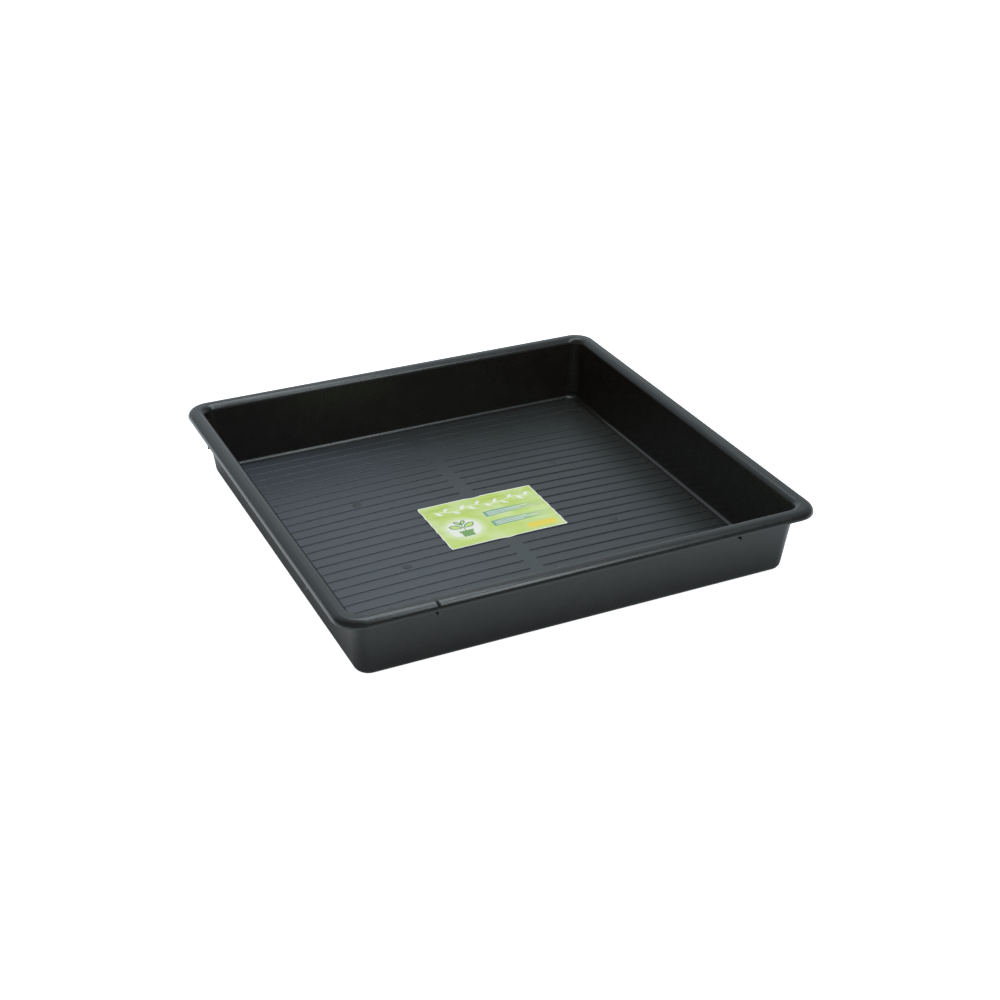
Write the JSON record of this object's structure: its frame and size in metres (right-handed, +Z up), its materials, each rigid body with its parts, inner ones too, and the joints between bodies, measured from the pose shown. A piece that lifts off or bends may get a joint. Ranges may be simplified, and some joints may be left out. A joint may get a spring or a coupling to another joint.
{
  "type": "garden tray",
  "caption": "Square moulded garden tray with drafted walls, rolled rim, ribbed and crowned floor, and a stuck-on paper label.",
  "frame": {"origin": "middle of the footprint, on the surface that the tray stands on", "axes": "+Z up; +X to the right and +Y to the back, seen from the side whose rim has the nick; the label reads along +X"},
  "size_m": [0.8, 0.8, 0.118],
  "materials": {
    "moulding": "satin black polypropylene",
    "label_paper": "coated paper, printed in greens"
  },
  "bodies": {
    "root": {"tray": "moulding", "label": "label_paper"}
  },
  "joints": []
}
